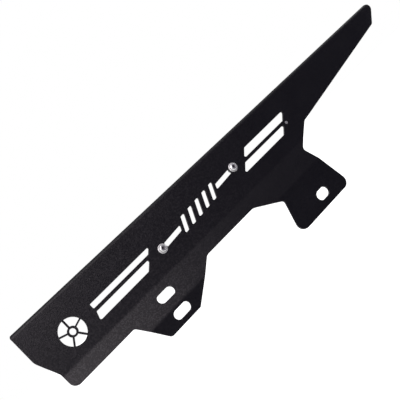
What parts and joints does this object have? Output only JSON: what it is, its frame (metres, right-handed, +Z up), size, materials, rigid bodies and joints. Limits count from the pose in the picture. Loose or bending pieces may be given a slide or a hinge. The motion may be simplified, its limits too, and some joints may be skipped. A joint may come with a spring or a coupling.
{
  "type": "motorcycle chain guard",
  "caption": "Long tapering chain guard folded from black coated sheet, with slotted mounting tabs, slanted slots, a round cut-out and chrome button head screws",
  "frame": {"origin": "centre of the front mounting tab's slot, on the back face of the tab, where it seats on the swingarm's boss", "axes": "+X runs along the guard to its tail, +Z up to the folded top edge, +Y inwards to the wheel, so the outer face looks towards -Y"},
  "size_m": [0.5107, 0.0355, 0.118],
  "materials": {
    "black_coat": "fine textured black powder coat, satin",
    "bright_chrome": "bright plated steel",
    "plain_steel": "zinc plated steel"
  },
  "bodies": {
    "root": {"guard_plate": "black_coat", "front_screw": "bright_chrome", "rear_screw": "bright_chrome", "front_washer": "bright_chrome", "rear_washer": "bright_chrome", "front_nut": "plain_steel", "rear_nut": "plain_steel"}
  },
  "joints": []
}
